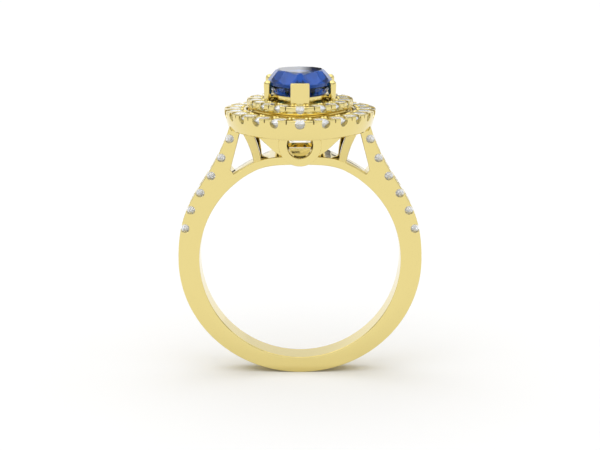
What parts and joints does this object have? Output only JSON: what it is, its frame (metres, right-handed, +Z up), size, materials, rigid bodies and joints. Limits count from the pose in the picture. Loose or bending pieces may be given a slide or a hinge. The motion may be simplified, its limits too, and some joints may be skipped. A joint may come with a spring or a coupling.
{
  "type": "engagement ring",
  "caption": "Engagement ring: pear-cut sapphire in a raised double diamond halo on a cathedral shank with diamond-set shoulders.",
  "frame": {"origin": "centre of the round finger hole, midway through the shank's width", "axes": "+Z up from the finger to the sapphire's table, Y along the finger with the pear's point towards -Y, +X to the right seen from the point's side"},
  "size_m": [0.02, 0.0144, 0.025],
  "materials": {
    "gold": "polished yellow gold",
    "diamond": "faceted, clear",
    "sapphire": "faceted, deep blue"
  },
  "bodies": {
    "root": {"bridge": "gold", "centre_basket": "gold", "collar_back": "gold", "collar_front": "gold", "gallery_cone": "gold", "inner_halo": "gold", "inner_halo_diamond_01": "diamond", "inner_halo_diamond_02": "diamond", "inner_halo_diamond_03": "diamond", "inner_halo_diamond_04": "diamond", "inner_halo_diamond_05": "diamond", "inner_halo_diamond_06": "diamond", "inner_halo_diamond_07": "diamond", "inner_halo_diamond_08": "diamond", "inner_halo_diamond_09": "diamond", "inner_halo_diamond_10": "diamond", "inner_halo_diamond_11": "diamond", "inner_halo_diamond_12": "diamond", "inner_halo_diamond_13": "diamond", "inner_halo_diamond_14": "diamond", "inner_halo_diamond_15": "diamond", "inner_halo_diamond_16": "diamond", "outer_halo": "gold", "outer_halo_diamond_01": "diamond", "outer_halo_diamond_02": "diamond", "outer_halo_diamond_03": "diamond", "outer_halo_diamond_04": "diamond", "outer_halo_diamond_05": "diamond", "outer_halo_diamond_06": "diamond", "outer_halo_diamond_07": "diamond", "outer_halo_diamond_08": "diamond", "outer_halo_diamond_09": "diamond", "outer_halo_diamond_10": "diamond", "outer_halo_diamond_11": "diamond", "outer_halo_diamond_12": "diamond", "outer_halo_diamond_13": "diamond", "outer_halo_diamond_14": "diamond", "outer_halo_diamond_15": "diamond", "outer_halo_diamond_16": "diamond", "outer_halo_diamond_17": "diamond", "outer_halo_diamond_18": "diamond", "outer_halo_diamond_19": "diamond", "outer_halo_diamond_20": "diamond", "outer_halo_diamond_21": "diamond", "outer_halo_diamond_22": "diamond", "point_prong": "gold", "sapphire": "sapphire", "shank": "gold", "shoulder_diamond_left_1": "diamond", "shoulder_diamond_left_2": "diamond", "shoulder_diamond_left_3": "diamond", "shoulder_diamond_left_4": "diamond", "shoulder_diamond_left_5": "diamond", "shoulder_diamond_left_6": "diamond", "shoulder_diamond_right_1": "diamond", "shoulder_diamond_right_2": "diamond", "shoulder_diamond_right_3": "diamond", "shoulder_diamond_right_4": "diamond", "shoulder_diamond_right_5": "diamond", "shoulder_diamond_right_6": "diamond"}
  },
  "joints": []
}
